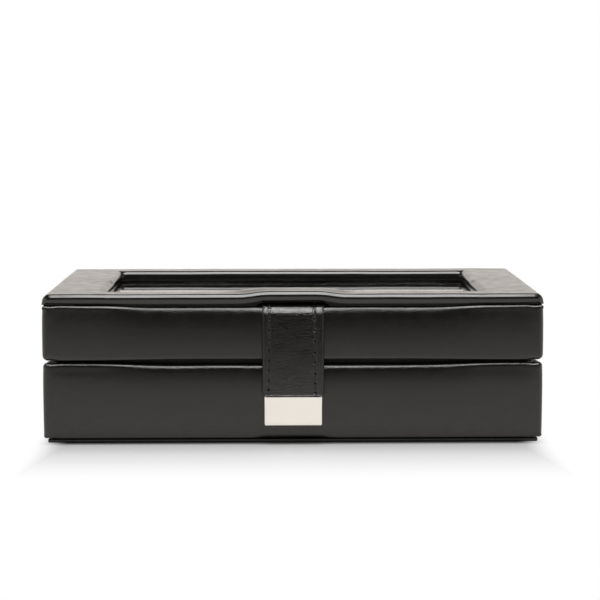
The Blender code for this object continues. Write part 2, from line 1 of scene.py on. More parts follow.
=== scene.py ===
# %% [markdown]
# # A cufflink box in black leather-cloth
#
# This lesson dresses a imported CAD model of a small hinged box: boards wrapped in black
# leather-cloth, a panel with a window, a stitched strap with a plated end, and a suede inside.
# The CAD model gives the place of every piece, so each one is made where it belongs.

# %% Load the frame
import json
import math

import bmesh
import bpy
from mathutils import Matrix, Vector, noise


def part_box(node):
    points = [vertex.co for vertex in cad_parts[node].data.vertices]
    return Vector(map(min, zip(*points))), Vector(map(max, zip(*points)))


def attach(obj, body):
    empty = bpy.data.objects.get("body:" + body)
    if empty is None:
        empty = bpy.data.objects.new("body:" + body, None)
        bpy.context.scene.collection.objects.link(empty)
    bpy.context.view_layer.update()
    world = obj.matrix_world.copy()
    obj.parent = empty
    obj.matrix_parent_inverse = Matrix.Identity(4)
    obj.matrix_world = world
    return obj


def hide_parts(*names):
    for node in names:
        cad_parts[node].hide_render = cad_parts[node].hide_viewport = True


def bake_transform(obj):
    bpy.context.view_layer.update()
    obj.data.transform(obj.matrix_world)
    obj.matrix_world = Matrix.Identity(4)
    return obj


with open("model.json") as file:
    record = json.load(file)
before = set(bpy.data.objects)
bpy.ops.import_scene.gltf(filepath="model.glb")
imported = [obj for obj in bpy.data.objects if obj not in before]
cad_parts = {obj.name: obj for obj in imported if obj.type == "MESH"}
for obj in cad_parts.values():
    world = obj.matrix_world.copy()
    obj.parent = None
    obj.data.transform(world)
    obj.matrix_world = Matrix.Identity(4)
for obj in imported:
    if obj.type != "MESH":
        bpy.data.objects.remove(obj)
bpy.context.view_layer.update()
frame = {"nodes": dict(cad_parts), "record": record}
MM = 0.001

# %% [markdown]
# ## Camera
#
# The photograph was taken from a little above the box with a long lens, about 0.6 m away and a
# touch left of its middle. The camera looks down by 7.4 degrees and is turned right by 0.7 degrees.
# A camera at rest looks straight down, so it is turned up about X first, and then about Z.

# %% Camera
camera_data = bpy.data.cameras.new("camera")
camera_data.lens = 92.8
camera_data.sensor_width = 36
camera = bpy.data.objects.new("camera", camera_data)
bpy.context.scene.collection.objects.link(camera)
camera.matrix_world = (
    Matrix.Translation(Vector((-4.7, -657.5, 136.3)) * MM)
    @ Matrix.Rotation(math.radians(-0.7), 4, "Z")
    @ Matrix.Rotation(math.radians(82.64), 4, "X")
    @ Matrix.Rotation(math.radians(-0.04), 4, "Z")
)
bpy.context.scene.camera = camera
bpy.context.scene.view_settings.view_transform = "Standard"
print("camera lens", camera_data.lens, "mm")

# %% [markdown]
# ## Helpers for materials
#
# A colour picked on a screen is sRGB, but Blender's sockets take linear light, so one function
# converts it. Another adds a node with its settings and its links in one line. Patterns are
# easiest to size when the coordinates are in millimetres, so every material starts from these.


# %% Helpers for materials
def hex_colour(code):
    """The linear colour of an sRGB hex value."""
    shares = [int(code[i : i + 2], 16) / 255 for i in (1, 3, 5)]
    linear = [s / 12.92 if s <= 0.04045 else ((s + 0.055) / 1.055) ** 2.4 for s in shares]
    return (*linear, 1.0)


def add_node(tree, kind, inputs=None, **settings):
    """Adds a shader node. An input is a number, a colour or the output that feeds it."""
    node = tree.nodes.new("ShaderNode" + kind)
    for name, value in settings.items():
        setattr(node, name, value)
    for name, value in (inputs or {}).items():
        if isinstance(value, bpy.types.NodeSocket):
            tree.links.new(value, node.inputs[name])
        else:
            node.inputs[name].default_value = value
    return node


def new_material(name, colour, roughness, **sockets):
    """A material with its shader's own sockets set. Returns it with its tree, shader and place in mm."""
    material = bpy.data.materials.new(name)
    material.use_nodes = True
    tree = material.node_tree
    shader = tree.nodes["Principled BSDF"]
    shader.inputs["Base Color"].default_value = hex_colour(colour)
    shader.inputs["Roughness"].default_value = roughness
    for socket, value in sockets.items():
        shader.inputs[socket.replace("_", " ")].default_value = value
    coordinates = add_node(tree, "TexCoord").outputs["Object"]
    place = add_node(tree, "Mapping", {"Vector": coordinates, "Scale": (1000, 1000, 1000)})
    return material, tree, shader, place.outputs[0]

# %% [markdown]
# ## Leather-cloth
#
# Leather-cloth is a fabric coated with plastic and pressed with a fine hide grain. The coating
# gives it a semi-gloss: soft mirror images at a low angle, and black where nothing bright is
# mirrored. Two patterns make it: a pebbled grain of about 0.7 mm, and slow waves of a
# few millimetres where the cloth wasn't drawn quite flat. Its roughness varies a little.


# %% Leather-cloth
def leathercloth(name, colour, worn, roughness, grain, crease, wave, pebble=0.55):
    """Semi-gloss coated cloth. grain, crease and wave are the heights in mm of its three patterns."""
    material, tree, shader, place = new_material(name, colour, roughness, IOR=1.57)
    warp = add_node(tree, "TexNoise", {"Vector": place, "Scale": 0.9, "Detail": 2.0})
    bent = add_node(tree, "MixRGB", {"Fac": 0.25, "Color1": place, "Color2": warp.outputs["Color"]})
    pebbles = add_node(
        tree, "TexVoronoi", {"Vector": bent.outputs[0], "Scale": 1 / pebble}, feature="DISTANCE_TO_EDGE"
    )
    rounded = add_node(
        tree,
        "MapRange",
        {"Value": pebbles.outputs["Distance"], "From Min": 0.0, "From Max": 0.22},
        interpolation_type="SMOOTHSTEP",
    )
    waves = add_node(tree, "TexNoise", {"Vector": place, "Scale": 1 / 7, "Detail": 2.0})
    creases = add_node(tree, "TexNoise", {"Vector": place, "Scale": 1 / 1.6, "Detail": 4.0, "Roughness": 0.6})
    coarse = add_node(
        tree,
        "Bump",
        {"Height": waves.outputs[0], "Distance": wave * MM, "Strength": 0.5},
    )
    middle = add_node(
        tree,
        "Bump",
        {"Height": creases.outputs[0], "Distance": crease * MM, "Strength": 0.6, "Normal": coarse.outputs[0]},
    )
    fine = add_node(
        tree,
        "Bump",
        {
            "Height": rounded.outputs["Result"],
            "Distance": grain * MM,
            "Strength": 0.7,
            "Normal": middle.outputs[0],
        },
    )
    tree.links.new(fine.outputs[0], shader.inputs["Normal"])
    patches = add_node(tree, "TexNoise", {"Vector": place, "Scale": 1 / 5, "Detail": 3.0})
    gloss = add_node(
        tree,
        "MapRange",
        {
            "Value": patches.outputs[0],
            "From Min": 0.3,
            "From Max": 0.7,
            "To Min": roughness - 0.04,
            "To Max": roughness + 0.05,
        },
    )
    tree.links.new(gloss.outputs["Result"], shader.inputs["Roughness"])
    tint = add_node(
        tree,
        "MixRGB",
        {"Fac": patches.outputs[0], "Color1": hex_colour(colour), "Color2": hex_colour(worn)},
    )
    tree.links.new(tint.outputs[0], shader.inputs["Base Color"])
    return material


case_leather = leathercloth("black_leathercloth", "#12110f", "#181613", 0.21, 0.025, 0.045, 0.07)
panel_leather = leathercloth("panel_leathercloth", "#12110f", "#181613", 0.18, 0.003, 0.006, 0.02)
strap_leather = leathercloth("strap_leathercloth", "#11100e", "#171512", 0.2, 0.06, 0.025, 0.04, 0.8)
print("leather-cloth materials:", case_leather.name, panel_leather.name, strap_leather.name)

# %% [markdown]
# ## Suede, board, thread, metals and glass
#
# The inside is lined with suede: matt, with a short nap that turns lighter and darker in patches,
# and a pale sheen where the nap is seen from the side. The boards under the cloth are pressed
# wood fibre. The hinges are plated steel, the strap's end is satin nickel, and the pane is glass.


# %% Suede
def suede(name, colour, brushed):
    """Napped cloth: patches of nap brushed two ways, and a sheen."""
    material, tree, shader, place = new_material(
        name, colour, 0.95, IOR=1.45, Sheen_Weight=0.35, Sheen_Roughness=0.4
    )
    patches = add_node(tree, "TexNoise", {"Vector": place, "Scale": 1 / 9, "Detail": 4.0, "Roughness": 0.6})
    tint = add_node(
        tree,
        "MixRGB",
        {"Fac": patches.outputs[0], "Color1": hex_colour(colour), "Color2": hex_colour(brushed)},
    )
    tree.links.new(tint.outputs[0], shader.inputs["Base Color"])
    nap = add_node(tree, "TexNoise", {"Vector": place, "Scale": 1 / 0.35, "Detail": 4.0, "Roughness": 0.7})
    bump = add_node(tree, "Bump", {"Height": nap.outputs[0], "Distance": 0.12 * MM, "Strength": 0.8})
    tree.links.new(bump.outputs[0], shader.inputs["Normal"])
    return material


charcoal_suede = suede("charcoal_suede", "#2a2827", "#393635")
print("suede:", charcoal_suede.name)


# %% Board, thread and metals
def fibreboard(name, colour, fleck):
    """Pressed wood fibre: pale brown, matt, with short dark flecks."""
    material, tree, shader, place = new_material(name, colour, 0.85, IOR=1.45)
    flecks = add_node(tree, "TexNoise", {"Vector": place, "Scale": 1 / 0.6, "Detail": 5.0, "Roughness": 0.7})
    share = add_node(tree, "MapRange", {"Value": flecks.outputs[0], "From Min": 0.35, "From Max": 0.7})
    tint = add_node(
        tree,
        "MixRGB",
        {"Fac": share.outputs["Result"], "Color1": hex_colour(fleck), "Color2": hex_colour(colour)},
    )
    tree.links.new(tint.outputs[0], shader.inputs["Base Color"])
    bump = add_node(tree, "Bump", {"Height": flecks.outputs[0], "Distance": 0.05 * MM, "Strength": 0.6})
    tree.links.new(bump.outputs[0], shader.inputs["Normal"])
    return material


def plated(name, colour, roughness, brush):
    """Plated metal, polished one way: long fine scratches across X. brush is their depth in mm."""
    material, tree, shader, place = new_material(name, colour, roughness, Metallic=1.0)
    stretched = add_node(tree, "Mapping", {"Vector": place, "Scale": (0.12, 4.0, 4.0)})
    scratches = add_node(
        tree, "TexNoise", {"Vector": stretched.outputs[0], "Scale": 1.5, "Detail": 3.0, "Roughness": 0.6}
    )
    bump = add_node(tree, "Bump", {"Height": scratches.outputs[0], "Distance": brush * MM, "Strength": 0.5})
    tree.links.new(bump.outputs[0], shader.inputs["Normal"])
    haze = add_node(tree, "TexNoise", {"Vector": place, "Scale": 1 / 6, "Detail": 2.0})
    gloss = add_node(
        tree,
        "MapRange",
        {
            "Value": haze.outputs[0],
            "From Min": 0.3,
            "From Max": 0.7,
            "To Min": roughness - 0.03,
            "To Max": roughness + 0.04,
        },
    )
    tree.links.new(gloss.outputs["Result"], shader.inputs["Roughness"])
    return material


bare_fibreboard = fibreboard("bare_fibreboard", "#8a6a48", "#5d452e")
satin_nickel = plated("satin_nickel", "#ebeae7", 0.11, 0.002)
plated_steel = plated("plated_steel", "#b9b6b0", 0.3, 0.006)
black_thread, tree, shader, place = new_material("black_waxed_thread", "#1c1b1a", 0.35, IOR=1.5)
twist = add_node(tree, "TexWave", {"Vector": place, "Scale": 0.9, "Distortion": 1.0}, bands_direction="DIAGONAL")
turns = add_node(tree, "Bump", {"Height": twist.outputs["Fac"], "Distance": 0.04 * MM, "Strength": 0.6})
tree.links.new(turns.outputs[0], shader.inputs["Normal"])
black_card_and_painted_shade, tree, shader, place = new_material("black_card_and_painted_shade", "#0d0c0b", 0.8, IOR=1.45)
fibres = add_node(tree, "TexNoise", {"Vector": place, "Scale": 1 / 0.5, "Detail": 4.0})
fuzz = add_node(tree, "Bump", {"Height": fibres.outputs[0], "Distance": 0.03 * MM, "Strength": 0.6})
tree.links.new(fuzz.outputs[0], shader.inputs["Normal"])
# Painted light: a pale matt material, used only for a thin strip that stands for a line of light inside the window.
painted_light_strip, tree, shader, place = new_material("pale_strip_painted_light", "#f0ede7", 0.7, IOR=1.45)
layers = add_node(tree, "TexNoise", {"Vector": place, "Scale": 1 / 0.4, "Detail": 3.0})
fuzz = add_node(tree, "Bump", {"Height": layers.outputs[0], "Distance": 0.04 * MM, "Strength": 0.6})
tree.links.new(fuzz.outputs[0], shader.inputs["Normal"])
clear_glass, tree, shader, place = new_material(
    "clear_float_glass", "#f2f6f4", 0.0, IOR=1.5, Transmission_Weight=1.0
)
ripple = add_node(tree, "TexNoise", {"Vector": place, "Scale": 1 / 60, "Detail": 1.0})
float_wave = add_node(tree, "Bump", {"Height": ripple.outputs[0], "Distance": 0.02 * MM, "Strength": 0.3})
tree.links.new(float_wave.outputs[0], shader.inputs["Normal"])
print("board, metals, thread and glass are ready")

# %% [markdown]
# ## Helpers for pieces
#
# Each new piece starts as a bmesh. One helper turns it into an object at the origin, gives it its
# material, hangs it on the CAD body it rides on, and hides the CAD nodes it stands for. Another
# cuts a mesh into bands, so that the vertices between can be moved like dough.


# %% Helpers for pieces
def add_piece(name, bm, material, body=None, replaces=(), smooth=True):
    """A finished bmesh as an object that rides on a CAD body."""
    bmesh.ops.remove_doubles(bm, verts=bm.verts, dist=0.004 * MM)
    mesh = bpy.data.meshes.new(name)
    bm.to_mesh(mesh)
    bm.free()
    for face in mesh.polygons:
        face.use_smooth = smooth
    piece = bpy.data.objects.new(name, mesh)
    bpy.context.scene.collection.objects.link(piece)
    mesh.materials.append(material)
    if body:
        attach(piece, body)
    if replaces:
        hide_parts(*replaces)
    return piece


def add_thickness(piece, thickness):
    """A solid wall inwards from the piece's faces."""
    solidify = piece.modifiers.new("thickness", "SOLIDIFY")
    solidify.thickness = thickness
    solidify.offset = -1
    solidify.use_even_offset = True
    return piece


def cut_bands(bm, axis, places):
    """Cuts the whole mesh by planes across one axis, at each place."""
    normal = Vector([float(i == axis) for i in range(3)])
    for place in places:
        everything = bm.verts[:] + bm.edges[:] + bm.faces[:]
        bmesh.ops.bisect_plane(bm, geom=everything, dist=0.002 * MM, plane_co=normal * place, plane_no=normal)


def steps(start, end, width):
    """Even places from start to end, both included, about width apart."""
    count = max(1, round((end - start) / width))
    return [start + (end - start) * i / count for i in range(count + 1)]


def ease(value):
    """0 to 1 with soft ends."""
    value = min(1.0, max(0.0, value))
    return value * value * (3 - 2 * value)


def wander(x, y, z, size, seed):
    """A smooth random number from -1 to 1, that changes over about size metres."""
    return noise.noise(Vector((x / size + seed, y / size, z / size)))


def finish_report(name, piece):
    print(name, len(piece.data.polygons), "faces")


# %% [markdown]
# ## The wraps of the base and of the lid
#
# Each half is four boards with one piece of leather-cloth round them, turned in over both rims.
# A cube with bevelled edges gives the outside. Its top and bottom are inset to the mouth and
# the mouth's rim is extruded along the inside of the boards. Then the walls are cut into
# bands and pushed: the cloth leans in towards its upper rim, and its rounding grows from tight
# at the corners to soft in the middle, which is what draws the long highlights in the photograph.

# %% Sizes of the wraps
WRAP_RADIUS = 2.2 * MM
WRAP_SKIN = 0.25 * MM
case_low, case_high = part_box("base_cover")
lid_low, lid_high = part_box("lid_cover")
board_inner = Vector((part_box("base_right_board")[0].x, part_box("base_back_board")[0].y))
mouth = board_inner - Vector((WRAP_SKIN, WRAP_SKIN))
print("walls from", round(case_low.z / MM, 1), "to", round(lid_high.z / MM, 1), "mm")


# %% Make a wrap
def open_end(bm, up, z, depth):
    """Opens the flat top or bottom to the mouth and runs a strip along the boards' inner faces."""
    ends = [max((f for f in bm.faces if f.normal.z * up > 0.999), key=lambda f: f.calc_area())]
    inset = case_high.x - WRAP_RADIUS - mouth.x
    bmesh.ops.inset_region(bm, faces=ends, thickness=inset, use_even_offset=True)
    rim = [e for f in ends for e in f.edges]
    bmesh.ops.delete(bm, geom=ends, context="FACES_ONLY")
    made = bmesh.ops.extrude_edge_only(bm, edges=rim)["geom"]
    bmesh.ops.translate(bm, verts=[v for v in made if isinstance(v, bmesh.types.BMVert)], vec=(0, 0, -up * depth))
    bmesh.ops.bevel(bm, geom=rim, offset=0.4 * MM, segments=3, profile=0.5, affect="EDGES", material=-1)


def round_rim(vert, edge, way, middle, radius):
    """Changes the radius that one rim was bevelled with, at one vertex, and lets the rim fall inwards."""
    from_edge = (edge - vert.co.z) * way
    if (vert.co.z - middle) * way < 0:
        return
    if from_edge >= WRAP_RADIUS:
        span = (edge - middle) * way
        share = (span - from_edge) / (span - WRAP_RADIUS)
        vert.co.z = middle + way * share * (span - radius)
        return
    fall = 0.0
    for axis, half, inner in ((0, case_high.x, mouth.x), (1, case_high.y, mouth.y)):
        value, side = abs(vert.co[axis]), math.copysign(1, vert.co[axis])
        start = half - WRAP_RADIUS
        wide = min(radius, half - inner - 0.6 * MM)
        if value > start:
            vert.co[axis] = side * (half - wide + (value - start) * wide / WRAP_RADIUS)
        elif value > inner + 0.5 * MM:
            share = (value - inner) / (start - inner)
            vert.co[axis] = side * (inner + share * (half - wide - inner))
        if value > inner - 0.1 * MM:
            away = 1 - min(1.0, (value - inner) / (start - inner))
            fall = max(fall, 0.0) if value > start else max(fall, 0.75 * MM * away**1.5)
    vert.co.z = edge - way * (from_edge * radius / WRAP_RADIUS + fall)


def make_wrap(name, low, high, radii, lean_by, body, seed):
    """The leather-cloth round four boards. Radii in mm: upper rim at corner, end, middle; lower rim at middle, corner."""
    bm = bmesh.new()
    size, centre = high - low, (high + low) / 2
    bmesh.ops.create_cube(bm, size=1, matrix=Matrix.Translation(centre) @ Matrix.Diagonal((*size, 1)))
    bmesh.ops.bevel(
        bm, geom=bm.edges[:], offset=WRAP_RADIUS, segments=6, profile=0.5, affect="EDGES", material=-1
    )
    open_end(bm, 1, high.z, 5 * MM)
    open_end(bm, -1, low.z, 5 * MM)
    cut_bands(bm, 0, steps(-96 * MM, 96 * MM, 3 * MM))
    cut_bands(bm, 1, steps(-46.5 * MM, 46.5 * MM, 3 * MM))
    cut_bands(bm, 2, steps(low.z + 3 * MM, high.z - 2.8 * MM, 1.2 * MM))
    for vert in bm.verts:
        x, y, z = vert.co
        front = abs(y) - case_high.y > abs(x) - case_high.x
        reach = case_high.x - abs(x) if front else case_high.y - abs(y)
        middle = ease((reach - 22 * MM) / (22 * MM)) if front else 0.25
        loose = wander(x, y, 0, 24 * MM, seed)
        near_corner, near_end, in_middle, low_middle, low_corner = radii
        radius = near_corner + (near_end - near_corner) * ease((reach - 2 * MM) / (18 * MM))
        radius = (radius + (in_middle - near_end) * middle) * (1 + 0.12 * loose) * MM
        low_radius = low_corner + (low_middle - low_corner) * ease((reach - 2 * MM) / (6 * MM))
        under_strap = ease((16 * MM - abs(x)) / (5 * MM)) if y < 0 and low.z < 10 * MM else 0.0
        round_rim(vert, high.z, 1, centre.z, radius)
        round_rim(vert, low.z, -1, centre.z, (low_radius + (1.7 - low_radius) * under_strap) * MM)
        # At the corners the cloth is drawn tight, and its folds make the rims a little thicker.
        tight = ease(reach / (9 * MM))
        from_top = high.z - vert.co.z
        end_lean, middle_lean, lean_depth, shoulder = lean_by
        lean = end_lean * (1 - middle) + middle_lean * middle
        lean *= MM * math.exp(-max(0, from_top - WRAP_RADIUS) / (lean_depth * MM))
        lean += shoulder * middle * MM * math.exp(-max(0, from_top - WRAP_RADIUS) / (1.6 * MM))
        lean += 0.08 * MM * math.exp(-max(0, vert.co.z - low.z - WRAP_RADIUS) / (2.5 * MM))
        lean *= (0.25 + 0.75 * tight) * (0.3 if front and y > 0 else 1.0)
        lean += (0.08 * wander(x, y, z, 26 * MM, seed + 3) + 0.08) * MM * tight
        for axis in (0, 1):
            value = abs(vert.co[axis])
            if value > mouth[axis] + 0.5 * MM:
                share = ease((value - mouth[axis]) / (case_high[axis] - WRAP_RADIUS - mouth[axis]))
                vert.co[axis] -= math.copysign(lean * share, vert.co[axis])
        if y < -40 * MM and high.z > 40 * MM:
            pressed = ease((14 * MM - abs(x)) / (2 * MM)) * ease((z - 50 * MM) / (4 * MM))
            vert.co.z -= 0.25 * MM * pressed
        joining = z > centre.z if high.z < 40 * MM else z < centre.z
        if joining and min(high.z - z, z - low.z) < WRAP_RADIUS:
            ends = ease((abs(x) - 40 * MM) / (45 * MM)) * (0.62 if high.z < 40 * MM else 0.42) * MM
            if y > 40 * MM:
                ends *= ease((50 * MM - abs(y)) / (10 * MM))
            vert.co.z += math.copysign(ends, z - centre.z)
    piece = add_piece(name, bm, case_leather, body)
    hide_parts(name.replace("_wrap", "_cover"))
    add_thickness(piece, WRAP_SKIN)
    finish_report(name, piece)
    return piece


base_wrap = make_wrap("base_wrap", case_low, case_high, (1.7, 1.9, 2.9, 0.55, 1.3), (0.6, 0.8, 4.5, 0.0), "base", 1.7)
lid_wrap = make_wrap("lid_wrap", lid_low, lid_high, (0.8, 1.5, 3.1, 1.2, 2.2), (0.7, 1.2, 7.5, 0.34), "lid", 5.2)

# %% [markdown]
# ## The window panel's cover
#
# The lid's top is a stiff frame in its own cover, glued on. Where the front rail passes over
# the strap it is lifted by the strap's thickness, and comes down again in two soft ramps.
# A grid with the window cut out makes the top. Its rims are extruded down, bevelled, and
# turned under. The outer edge is rolled softly and the window's edge more tightly.

# %% Sizes of the panel
panel_low, panel_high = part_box("panel_cover")
STRAP_HALF = 12.25 * MM
RISE = 1.1 * MM
RAMP_START = STRAP_HALF - 2 * MM
RAMP = 11 * MM
PANEL_TOP = panel_high.z - 1.5 * MM
WINDOW = Vector((76, 35.3)) * MM
PANEL_UNDER = panel_low.z + 0.02 * MM
ROLL = 1.65 * MM
ROLL_REACH = 3.0 * MM
SETTLE = 9 * MM
print("panel from", round(panel_low.z / MM, 1), "to", round(PANEL_TOP / MM, 1), "mm")


def panel_lift(x, y):
    """How far the front rail is lifted over the strap: less at its front edge than at the window."""
    back = ease((y + 46 * MM) / (9 * MM))
    ramp = RAMP + 8 * MM * back
    height = RISE * (1 + 0.45 * back)
    return height * ease(1 - (abs(x) - RAMP_START) / ramp) * ease((20 * MM - y) / (20 * MM))


# %% Make the panel's cover
bm = bmesh.new()
bmesh.ops.create_grid(bm, x_segments=1, y_segments=1, size=1, matrix=Matrix.Diagonal((*panel_high.xy, 1, 1)))
cut_bands(bm, 0, [-WINDOW.x, WINDOW.x])
cut_bands(bm, 1, [-WINDOW.y, WINDOW.y])
bm.faces.ensure_lookup_table()
hole = [f for f in bm.faces if f.calc_center_median().length < 10 * MM]
bmesh.ops.delete(bm, geom=hole, context="FACES_ONLY")
for vert in bm.verts:
    vert.co.z = PANEL_TOP
rims = [e for e in bm.edges if e.is_boundary]
made = bmesh.ops.extrude_edge_only(bm, edges=rims)["geom"]
lowered = [v for v in made if isinstance(v, bmesh.types.BMVert)]
bmesh.ops.translate(bm, verts=lowered, vec=(0, 0, PANEL_UNDER - PANEL_TOP))
low_rims = [e for e in bm.edges if e.is_boundary]
made = bmesh.ops.extrude_edge_only(bm, edges=low_rims)["geom"]
for vert in [v for v in made if isinstance(v, bmesh.types.BMVert)]:
    turn = 5 * MM
    outside = abs(vert.co.x) > WINDOW.x + 1 * MM or abs(vert.co.y) > WINDOW.y + 1 * MM
    turn = -turn if outside else turn
    vert.co.x += turn * math.copysign(1, vert.co.x)
    vert.co.y += turn * math.copysign(1, vert.co.y)


def is_outer(edge):
    return all(abs(v.co.x) > panel_high.x - 0.1 * MM or abs(v.co.y) > panel_high.y - 0.1 * MM for v in edge.verts)


upright = [e for e in bm.edges if abs(e.verts[0].co.z - e.verts[1].co.z) > 1 * MM]
low_outer = [e for e in low_rims if is_outer(e)]
low_inner = [e for e in low_rims if not is_outer(e)]
top_outer = [e for e in rims if is_outer(e)]
top_inner = [e for e in rims if not is_outer(e)]
bmesh.ops.bevel(
    bm,
    geom=[e for e in upright if is_outer(e)] + top_outer,
    offset=ROLL,
    segments=7,
    profile=0.5,
    affect="EDGES",
    material=-1,
)
for edges, radius in ((top_inner, 2.0), (low_outer, 1.3), (low_inner, 0.6)):
    rim = [e for e in edges if e.is_valid]
    bmesh.ops.bevel(bm, geom=rim, offset=radius * MM, segments=5, profile=0.5, affect="EDGES", material=-1)
cut_bands(bm, 0, steps(-97 * MM, 97 * MM, 2.5 * MM))
cut_bands(bm, 1, steps(-47 * MM, 47 * MM, 2.5 * MM))



def stretch(reach, rolled, widened, settle):
    """Makes a rounding wider than it is high, and settles the cloth behind it."""
    if reach < rolled:
        return reach * widened / rolled
    if reach < settle:
        return widened + (reach - rolled) * (settle - widened) / (settle - rolled)
    return reach


for vert in bm.verts:
    if vert.co.z < PANEL_TOP - ROLL - 0.01 * MM:
        continue
    for axis, half, edge in ((0, panel_high.x, WINDOW.x), (1, panel_high.y, WINDOW.y)):
        value = abs(vert.co[axis])
        other = 1 - axis
        value = half - stretch(half - value, ROLL, ROLL_REACH, SETTLE)
        beside_window = abs(vert.co[other]) < WINDOW[other] + 2.1 * MM
        if beside_window and value > edge - 0.01 * MM:
            value = edge + stretch(value - edge, 2.0 * MM, 2.3 * MM, 5 * MM)
        vert.co[axis] = math.copysign(value, vert.co[axis])
for vert in bm.verts:
    x, y, z = vert.co
    wave = 0.16 * wander(x, y, 0, 24 * MM, 9.1) + 0.06 * wander(x, y, 0, 9 * MM, 2.4)
    height = ease((z - PANEL_UNDER) / (2.5 * MM))
    reach = ease((-y - 36.5 * MM) / (10 * MM))
    vert.co.z += panel_lift(x, y) * max(height, reach)
    if z > PANEL_TOP - 2 * MM:
        vert.co.z += (wave - 0.14) * MM
    drop = PANEL_TOP - z
    if drop < ROLL + 0.01 * MM:
        # Both ends droop, so the edge is sharpest low down, as the photograph's outline shows.
        vert.co.z -= 0.85 * drop * ease((abs(x) - panel_high.x + 2.4 * MM) / (1.4 * MM))
    if y < 0 and abs(x) < WINDOW.x + 2 * MM and abs(y) < WINDOW.y + 4 * MM:
        vert.co.z -= 0.4 * MM * ease((WINDOW.y + 4 * MM - abs(y)) / (4 * MM))
    if abs(y) > panel_high.y - 1 * MM:
        inward = 0.3 + 0.1 * wander(x, z, 0, 14 * MM, 4.4)
        vert.co.y -= math.copysign(inward * MM, y)
bmesh.ops.recalc_face_normals(bm, faces=bm.faces)
up = [f for f in bm.faces if abs(f.normal.z) > 0.9 and f.calc_center_median().z > PANEL_TOP - 1 * MM]
if sum(f.normal.z for f in up) < 0:
    bmesh.ops.reverse_faces(bm, faces=bm.faces)
panel_wrap = add_piece("panel_wrap", bm, panel_leather, "lid", ["panel_cover"])
add_thickness(panel_wrap, 0.22 * MM)
finish_report("panel_wrap", panel_wrap)

# %% [markdown]
# ## The board in the panel
#
# The cover is drawn over a stiff frame, whose front rail humps over the strap. The photograph's
# hump is shorter than the CAD board's, so a copy of the board is lowered where the two differ.
# Its underside never sinks below the panel's foot. The board is painted black as shade: where it
# comes out over the strap, its black is painted shade in the joint.

# %% Fit the panel's board
BOARD_RISE = 1.5 * MM
BOARD_RAMP = 17 * MM
BOARD_SINK = 0.3 * MM
board_low, board_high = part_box("panel_board")
bm = bmesh.new()
bm.from_mesh(frame["nodes"]["panel_board"].data)
bmesh.ops.remove_doubles(bm, verts=bm.verts, dist=0.01 * MM)
for vert in bm.verts:
    x, y, z = vert.co
    rise = BOARD_RISE * ease(1 - (abs(x) - STRAP_HALF - 1 * MM) / BOARD_RAMP) * ease((20 * MM - y) / (20 * MM))
    top = z - rise > board_low.z + 1.5 * MM
    vert.co.z = max(board_low.z, z - rise + panel_lift(x, y) - (BOARD_SINK if top else 0.0))
# Painted shade: the board gets the black material, so where it shows over the strap it reads as shade.
add_piece("panel_board_fitted", bm, black_card_and_painted_shade, "lid", ["panel_board"], smooth=False)
print("panel board rises", round(panel_lift(0, -45 * MM) / MM, 2), "mm over the strap")

# %% [markdown]
# ## Black packing under the panel, put in as painted shade
#
# Between the lid and the panel lies a thin black bed: painted shade, a dark piece in the joint where
# there is shade. It is hardly seen, but it keeps daylight from shining through the joint. At the front
# it stops at the strap and follows the panel's ramps, so it is a handful of bars whose tops are pushed up.

# %% Make the packing
bm = bmesh.new()
bars = [
    (12.7, -47.5, 99.2, -43.5),
    (-99.2, -47.5, -12.7, -43.5),
    (-12.7, -46.0, 12.7, -43.5),
    (-99.2, 43.5, 99.2, 46.9),
    (94.9, -43.5, 99.2, 43.5),
    (-99.2, -43.5, -94.9, 43.5),
]
for x0, y0, x1, y1 in bars:
    middle = Vector(((x0 + x1) / 2, (y0 + y1) / 2, 55.5)) * MM
    size = Vector((x1 - x0, y1 - y0, 1.0)) * MM
    bmesh.ops.create_cube(bm, size=1, matrix=Matrix.Translation(middle) @ Matrix.Diagonal((*size, 1)))
cut_bands(bm, 0, [p for p in steps(-42 * MM, 42 * MM, 3 * MM) if abs(p) > 13 * MM])
for vert in bm.verts:
    if vert.co.z > 55.5 * MM:
        vert.co.z += panel_lift(vert.co.x, vert.co.y)
    elif abs(vert.co.x) < 12.75 * MM and vert.co.y < 0:
        vert.co.z = 56.4 * MM
# Painted shade: the bars get the black material.
packing = add_piece("panel_packing_painted_shade", bm, black_card_and_painted_shade, "lid", smooth=False)
finish_report("panel_packing_painted_shade", packing)

# %% [markdown]
# ## The strap
#
# The strap is one band of leather-cloth, folded and glued. It starts under the panel, comes down
# over the lid's front edge in a soft shoulder, and hangs in front of both halves. A cube cut
# into a fine grid is wrapped along that path, and its face is pressed in along two rows of
# stitches.

# %% The strap's path
FLAP_END = 8.9 * MM
TONGUE_START = 20.35 * MM
TAB_END_Y = -40.2 * MM
FACE_Y = -52.9 * MM
HANG_START = 20.5 * MM
ARCS = ((253.6, 0, 7.1, 22), (2.0, 7.1, 30.5, 5), (7.6, 30.5, 90, 16))


def strap_path():
    """Points (y, z) on the strap's outer face with the way outwards, from the tab to the flap's end."""
    points = []
    for z in steps(FLAP_END, HANG_START, 1.0 * MM)[:-1]:
        tucked = 0.4 * MM * ease((20.5 * MM - z) / (4 * MM))
        points.append((Vector((FACE_Y + tucked, z)), Vector((-1, 0))))
    place = Vector((FACE_Y, HANG_START))
    for radius, first, last, count in ARCS:
        centre = place + Vector((math.cos(math.radians(first)), -math.sin(math.radians(first)))) * radius * MM
        for i in range(count + 1):
            angle = math.radians(first + (last - first) * i / count)
            way = Vector((-math.cos(angle), math.sin(angle)))
            place = centre + way * radius * MM
            if i < count:
                points.append((place, way))
    points += [(Vector((y, place.y)), Vector((0, 1))) for y in steps(place.x, TAB_END_Y, 1.0 * MM)]
    return points[::-1]


def path_lengths(points):
    lengths = [0.0]
    for (a, _), (b, _) in zip(points, points[1:]):
        lengths.append(lengths[-1] + (b - a).length)
    return lengths


route = strap_path()
along = path_lengths(route)
print("strap's length in mm:", round(along[-1] / MM, 1))


